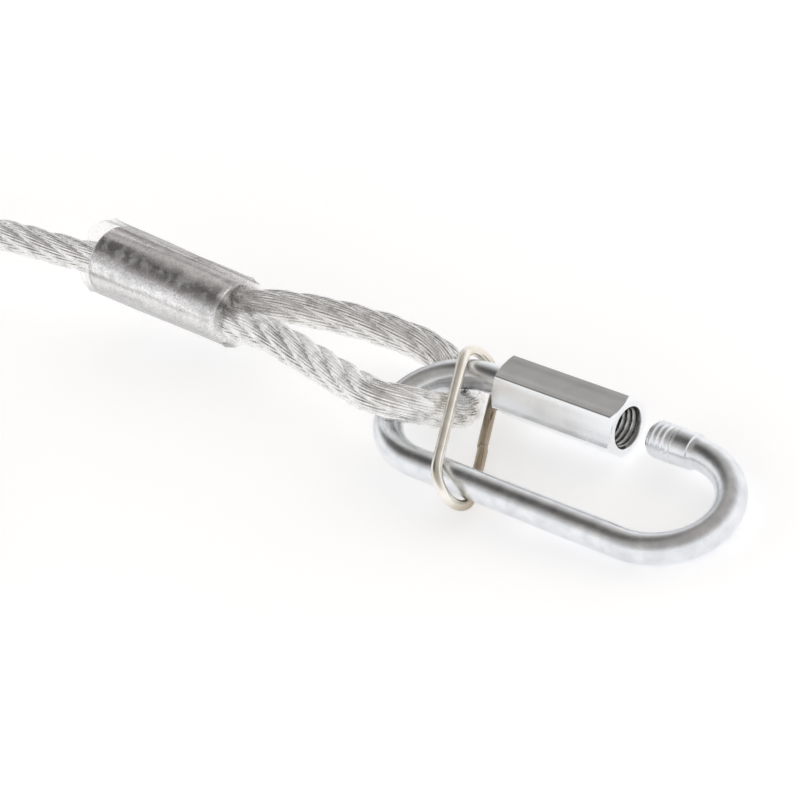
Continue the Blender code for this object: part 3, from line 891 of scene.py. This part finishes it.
def make_sleeve(side, frame_matrix, fold_turn, seed):
    """A thin closed film round the ferrule, ragged and crumpled at its left end."""
    rng = random.Random(seed)
    waves = [
        (rng.randint(3, 14), rng.uniform(0.008, 0.020), rng.uniform(0, TAU), rng.uniform(-0.25, 0.25))
        for _ in range(9)
    ]
    half = SLEEVE_LENGTH / 2
    angles = circle(180)
    ragged = fourier(angles, [(3, 0.25, 0.5), (5, 0.25, 1.9), (9, 0.15, 0.3)])
    lump = around(angles, fold_turn + 0.45, 0.50)
    left = -half + 0.3 + ragged - 0.9 * lump
    right = half + fourier(angles, [(2, 0.18, 0.8), (5, 0.10, 2.0), (11, 0.05, 0.1)])
    crumples = 0.12 * np.cos(7 * angles + 1.0) + 0.07 * np.cos(12 * angles) + 0.45 * lump
    outer, inner = [], []
    for step in np.linspace(0.0, 1.0, 72):
        x = left + (right - left) * step
        r = film_radius(x, angles, fold_turn, waves)
        r = r + crumples * np.clip(1 - (x + half) / FILM_CRUMPLE_REACH, 0.0, 1.2)
        outer.append(ring_round_x(x, r, angles))
        inner.append(ring_round_x(x, r - FILM_THICK, angles))
    sleeve = grid_object(f"clear_sleeve_{side}", placed(outer + inner[::-1], frame_matrix), loop=True)
    return finish_piece(sleeve, FILM, "rope", "clear_sleeve", f"ferrule_sleeve_{side}")


# ---- the coil's tie ----
def make_tie():
    """A flat closed strap with rounded corners round both turns."""
    low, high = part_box("coil_tie")
    centre, size = (low + high) / 2, high - low
    half_l, thick, bend, rim = (value * MM for value in (TIE_WIDTH / 2, TIE_THICK, TIE_BEND_R, TIE_RIM))
    section = [
        (-half_l, -rim), (-half_l + rim, 0.0), (half_l - rim, 0.0), (half_l, -rim),
        (half_l, -thick + rim), (half_l - rim, -thick), (-half_l + rim, -thick), (-half_l, -thick + rim),
    ]
    rings = []
    for corner, (side_x, side_z) in enumerate([(1, 1), (-1, 1), (-1, -1), (1, -1)]):
        for i in range(9):
            angle = math.radians(90 * corner + i * 90 / 8)
            out_x, out_z = math.cos(angle), math.sin(angle)
            x = centre.x + side_x * (size.x / 2 - bend) + bend * out_x
            z = centre.z + side_z * (size.z / 2 - bend) + bend * out_z
            rings.append([(x + out_x * depth, centre.y + y, z + out_z * depth) for y, depth in section])
    strap = grid_object("coil_strap", np.array(rings), loop=True)
    return finish_piece(strap, STRAP, "rope", "tie_plastic", "coil_tie")


# ---- the quick link ----
def bow_point(side, angle):
    """A point on a curved end's centre line; side is -1 at the left and 1 at the right."""
    return (side * (STRAIGHT_X + BOW_REACH * math.cos(angle)), ARM_Y * math.sin(angle), 0.0)


def thread_radius(crest_r, root_r, along, angles, fade):
    """A rounded ridge that climbs one pitch a turn; fade goes from 0, plain, to 1, full depth."""
    climb = along / THREAD_PITCH - angles / TAU
    ridge = (0.5 + 0.5 * np.cos(TAU * climb)) ** THREAD_FULLNESS
    return crest_r - (crest_r - root_r) * (1 - ridge) * fade


def end_radius(x, rim_x, thread_end_x, shoulder_x, angles, along):
    """Radius of a threaded end of the rod at x, from its flat rim to the plain rod."""
    outward = 1.0 if shoulder_x > rim_x else -1.0
    from_rim = (x - rim_x) * outward
    to_thread_end = (thread_end_x - x) * outward
    to_shoulder = (shoulder_x - x) * outward
    fade = float(smoothstep(-0.2, 1.3, to_thread_end))
    crest = THREAD_CREST_R if to_thread_end > 0 else SHANK_R
    r = thread_radius(crest, THREAD_ROOT_R, along, angles, fade)
    lead_in = THREAD_ROOT_R - 0.12 + 0.75 * max(0.0, from_rim)
    r = np.minimum(r, lead_in)
    return ROD_R + (r - ROD_R) * float(smoothstep(-0.22, 0.12, to_shoulder))


def rod_line():
    """Centre points of the rod from the long thread's rim to the short thread's rim."""
    fine, coarse = THREAD_PITCH / 12, 0.7
    quarter = math.pi / 2
    points = [(x, ARM_Y, 0.0) for x in np.arange(LONG_RIM_X, LONG_SHOULDER_X - 0.6, -fine)]
    points += [(x, ARM_Y, 0.0) for x in np.arange(LONG_SHOULDER_X - 1.0, -STRAIGHT_X + 0.2, -coarse)]
    points += [bow_point(-1, quarter - math.pi * i / 72) for i in range(73)]
    points += [(x, -ARM_Y, 0.0) for x in np.linspace(-STRAIGHT_X, STRAIGHT_X, 40)[1:-1]]
    points += [bow_point(1, -quarter + math.pi * i / 72) for i in range(73)]
    points += [(x, ARM_Y, 0.0) for x in np.arange(SHORT_SHOULDER_X - 0.02, SHORT_RIM_X, -fine)]
    points.append((SHORT_RIM_X, ARM_Y, 0.0))
    return np.array(points)


def rod_radius(point, along, angles):
    """The rod's radii round one point of its centre line."""
    x, y = point[0], point[1]
    on_gate_arm = y > ARM_Y - 0.5
    if on_gate_arm and LONG_SHOULDER_X - 1.0 < x < (LONG_RIM_X + SHORT_RIM_X) / 2:
        return end_radius(x, LONG_RIM_X, LONG_THREAD_END_X, LONG_SHOULDER_X, angles, along)
    if on_gate_arm and SHORT_RIM_X <= x < SHORT_SHOULDER_X + 1.0:
        return end_radius(x, SHORT_RIM_X, SHORT_THREAD_END_X, SHORT_SHOULDER_X, angles, along)
    return np.full(len(angles), ROD_R)


def make_link_rod():
    """The bent rod with a thread cut on both its ends."""
    line = rod_line()
    angles = circle(56)
    radii = np.array([rod_radius(point, along, angles) for point, along in zip(line, lengths_along(line))])
    rings = tube_rings(line, path_frames(line), radii, angles)
    rod = grid_object("link_rod", placed(rings, LINK))
    return finish_piece(rod, ZINC, "link", "zinc", "quick_link_body")


def hexagon_angles():
    """Angles round the nut, close together at its rounded corners; a corner is at 60 degrees."""
    angles = []
    for corner in range(6):
        centre = 60.0 + 60.0 * corner
        angles += [centre + d for d in (-3.2, -2.2, -1.2, 0.0, 1.2, 2.2, 3.2)]
        angles += [centre + d for d in (6.0, 12.0, 21.0, 30.0, 39.0, 48.0, 54.0)]
    return np.radians(angles)


def hexagon_radius(angles):
    """Distance to a hexagon's side with a small rounding at the corners."""
    from_flat = np.degrees(angles) % 60.0 - 30.0
    side = NUT_FLATS / 2 / np.cos(np.radians(from_flat))
    limit = NUT_FLATS / 2 / math.cos(math.radians(30.0)) - NUT_CORNER_CUT
    from_corner = 30.0 - np.abs(from_flat)
    rounded = limit - NUT_CORNER_FALL * from_corner**2
    return np.minimum(side, np.maximum(rounded, NUT_FLATS / 2))


def nut_profile(angles):
    """Places and radii along the outside, over the open end's face and back along the bore."""
    hexagon = hexagon_radius(angles)
    depths = list(np.linspace(0.0, 0.62, 16)) + [0.9, 2.5, 5.0, 8.0, 11.65]
    profile = []
    for x in depths + [NUT_LENGTH - depth for depth in reversed(depths[:-1])]:
        chamfer = NUT_FACE_R + min(x, NUT_LENGTH - x) * math.tan(math.radians(60.0))
        profile.append((x, np.minimum(hexagon, chamfer)))
    profile += [(NUT_LENGTH, NUT_MOUTH_R), (NUT_LENGTH, 3.56), (NUT_LENGTH - 0.12, 3.48)]
    for x in np.arange(NUT_LENGTH - 0.7, NUT_BORE_PLAIN_X, -THREAD_PITCH / 12):
        fade = smoothstep(0.3, 1.0, NUT_LENGTH - x) * smoothstep(NUT_BORE_PLAIN_X, NUT_BORE_PLAIN_X + 1.0, x)
        r = thread_radius(NUT_BORE_ROOT_R, NUT_BORE_CREST_R, x, angles, 1.0)
        profile.append((x, NUT_BORE_ROOT_R + (r - NUT_BORE_ROOT_R) * fade))
    profile += [(x, NUT_BORE_PLAIN_R) for x in (NUT_BORE_PLAIN_X - 0.5, 6.0, 0.6)]
    return profile + [(0.0, 3.5), (0.0, NUT_MOUTH_R)]


def make_nut():
    """A long chamfered hexagon with a thread showing in its open end."""
    angles = hexagon_angles()
    rings = np.array([ring_round_x(x, r, angles) for x, r in nut_profile(angles)])
    shift = np.array([NUT_LEFT_X, ARM_Y, 0.0])
    nut = grid_object("hex_nut", placed(rings + shift, LINK), loop=True)
    nut.data.set_sharp_from_angle(angle=math.radians(NUT_SHARP_DEG))
    weighted = nut.modifiers.new("weighted", "WEIGHTED_NORMAL")
    weighted.keep_sharp = True
    return finish_piece(nut, NUT_ZINC, "nut", "zinc", "quick_link_nut")


def clip_bend(centre, along, across, start):
    """Half a turn of the clip's wire about a bend centre."""
    turns = [start + math.pi * i / 24 for i in range(25)]
    return [centre + (along * math.cos(turn) + across * math.sin(turn)) * CLIP_END_R for turn in turns]


def clip_line():
    """The wire's centre line, from one end round both bends to the other end."""
    along = (CLIP_FRONT - CLIP_REAR).normalized()
    across = (CLIP_LEAN - along * CLIP_LEAN.dot(along)).normalized()
    front = clip_bend(CLIP_FRONT, along, across, -math.pi / 2)
    rear = clip_bend(CLIP_REAR, along, across, math.pi / 2)
    joint = rear[-1].lerp(front[0], CLIP_JOINT_AT)
    step = CLIP_JOINT_STEP / 2
    offset = Vector((step, step * 0.5, step * 0.4))
    gap, reach = along * CLIP_JOINT_GAP / 2, along * CLIP_JOINT_REACH
    begin = [joint + offset + gap, joint + offset * 0.8 + reach]
    finish = [joint - offset * 0.8 - reach, joint - offset - gap]
    return even_points(smooth_route(begin + front + rear + finish, 2 * CLIP_STEP), CLIP_STEP)


def make_clip():
    """One wire bent to a long ring; its ends meet on the lower bar, a little out of line."""
    line = clip_line()
    radii = np.full((len(line), 1), CLIP_R)
    radii[0] = radii[-1] = CLIP_R - 0.10
    radii[1] = radii[-2] = CLIP_R - 0.02
    rings = tube_rings(line, path_frames(line), radii, circle(24))
    clip = grid_object("wire_clip", placed(rings, LINK))
    return finish_piece(clip, CLIP_METAL, "clip", "clip_wire", "retaining_clip")


# ---- everything ----
def main():
    make_stage()
    near, far = near_frame(), far_frame()
    eye_near, eye_near_line = make_eye("near", eye_line(near, NEAR_EYE, False), ROPE_STEP, WIRE_POINTS)
    eye_far, eye_far_line = make_eye("far", eye_line(far, FAR_EYE, True), FAR_ROPE_STEP, FAR_WIRE_POINTS)
    rope, rope_line = rope_object("rope_body", main_line(), ROPE_STEP, LINE_SQUEEZED, WIRE_POINTS, LINE_PHASE)
    finish_piece(rope, ROPE_WIRES, "rope", "wire_rope", "rope_line", "rope_coil", "rope_far_lead")
    near_pieces = [make_ferrule("near", near), make_sleeve("near", near, math.radians(NEAR_FOLD_DEG), SEED)]
    far_pieces = [make_ferrule("far", far), make_sleeve("far", far, math.radians(FAR_FOLD_DEG), SEED + 1)]
    tie = make_tie()
    make_link_rod()
    make_nut()
    make_clip()


main()
